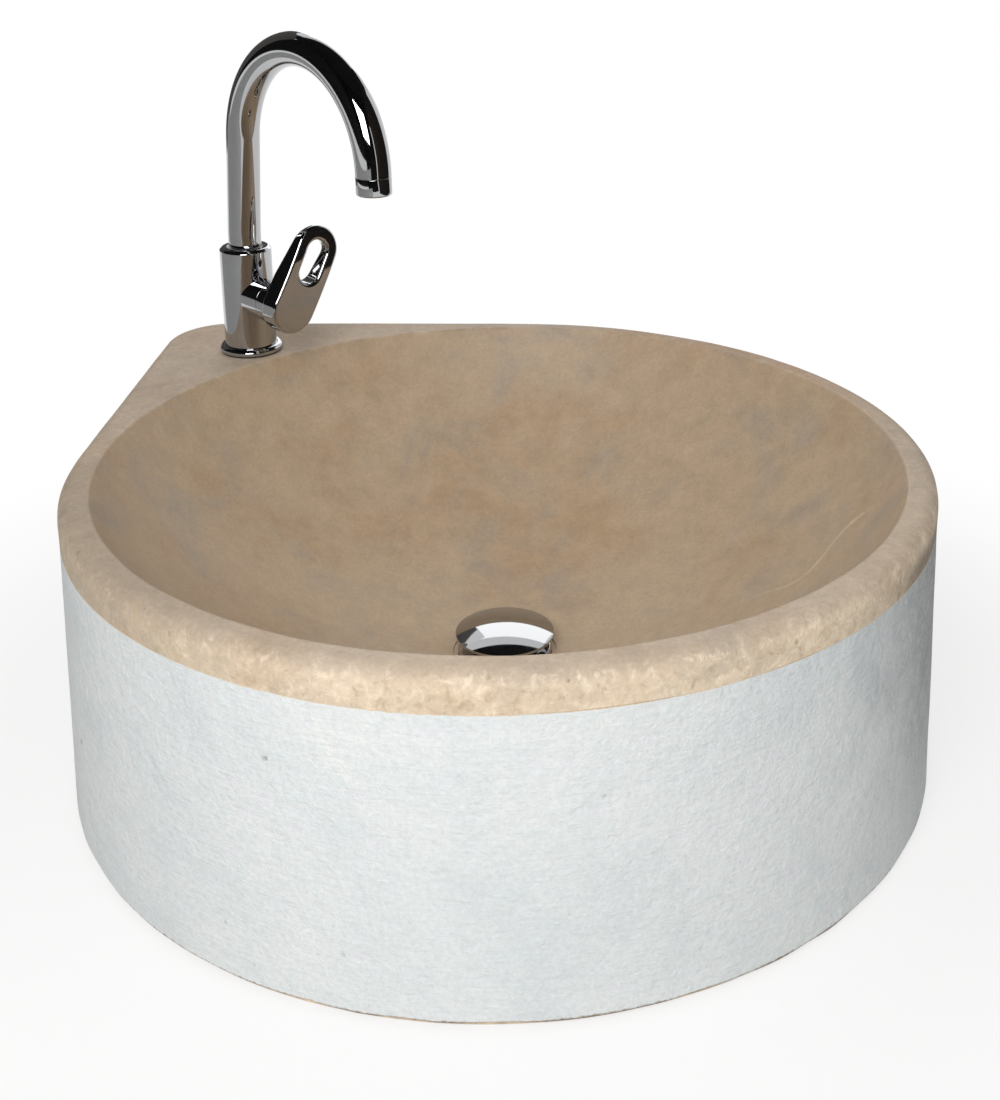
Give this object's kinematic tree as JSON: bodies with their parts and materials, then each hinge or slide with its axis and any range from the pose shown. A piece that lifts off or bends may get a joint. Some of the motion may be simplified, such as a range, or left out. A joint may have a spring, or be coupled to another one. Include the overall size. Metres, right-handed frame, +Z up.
{
  "type": "concrete corner sink with faucet",
  "caption": "Round concrete basin with a squared back corner, spherical bowl, swivelling arched spout, loop mixer lever and press-to-close domed waste.",
  "frame": {"origin": "centre of the round bowl on the base plane", "axes": "+Z up, +Y to the back, +X to the right; the square corner with the faucet is at -X and +Y"},
  "size_m": [0.5506, 0.5506, 0.443],
  "materials": {
    "concrete": "satin sealed",
    "limewash": "matt",
    "chrome": "polished plating on brass",
    "brass": "machined",
    "steel": "plain",
    "rubber": "matt",
    "plastic": "moulded",
    "alumina": "lapped",
    "cap_plastic": "moulded"
  },
  "bodies": {
    "basin": {"basin_casting": "concrete", "basin_bowl": "concrete", "outer_coat": "limewash", "faucet_body": "chrome", "base_ring": "chrome", "base_seal": "rubber", "mounting_stud": "steel", "clamp_gasket": "rubber", "clamp_plate": "steel", "clamp_nut": "brass", "cartridge_housing": "plastic", "cartridge_seal": "rubber", "fixed_disc": "alumina", "cartridge_nut": "brass", "cover_sleeve": "chrome", "spout_slip_rings": "plastic", "spout_screw": "steel", "drain_body": "chrome", "drain_upper_seal": "rubber", "drain_lower_seal": "rubber", "drain_backnut": "plastic", "plug_guide": "plastic"},
    "spout": {"spout_tube": "chrome", "spout_tail": "chrome", "spout_o_rings": "rubber", "aerator_housing": "chrome", "aerator_insert": "plastic", "aerator_washer": "rubber"},
    "lever_carrier": {"carrier": "plastic", "pivot_pin": "steel"},
    "lever_handle": {"lever": "chrome", "lever_stem": "steel", "lever_screw": "steel", "lever_plug": "cap_plastic"},
    "valve_disc": {"moving_disc": "alumina", "disc_holder": "plastic"},
    "plug": {"plug_cap": "chrome", "plug_stem": "brass", "plug_stop_collar": "steel", "plug_seal": "rubber", "plug_spring": "steel"}
  },
  "joints": [
    {"name": "spout_swivel", "type": "hinge", "parent": "basin", "child": "spout", "pos_m": [-0.1985, 0.1985, 0.197], "axis": [0, 0, 1], "range_deg": [-60, 60]},
    {"name": "lever_turn", "type": "hinge", "parent": "basin", "child": "lever_carrier", "pos_m": [-0.1985, 0.1985, 0.241], "axis": [0.7071, -0.7071, 0], "range_deg": [-19, 81]},
    {"name": "lever_lift", "type": "hinge", "parent": "lever_carrier", "child": "lever_handle", "pos_m": [-0.17304, 0.17304, 0.241], "axis": [0.6061, 0.6061, -0.515], "range_deg": [0, 20]},
    {"name": "disc_slide", "type": "slide", "parent": "lever_carrier", "child": "valve_disc", "axis": [0.3642, 0.3642, 0.8572], "range_m": [0, 0.00329]},
    {"name": "plug_press", "type": "slide", "parent": "basin", "child": "plug", "axis": [0, 0, -1], "range_m": [0, 0.007], "stiffness_N_per_m": 700, "springref_m": -0.006, "deforming": ["plug_spring"]}
  ],
  "couplings": [
    {"joint": "disc_slide", "follows": "lever_lift", "m_per_rad": 0.009406}
  ]
}
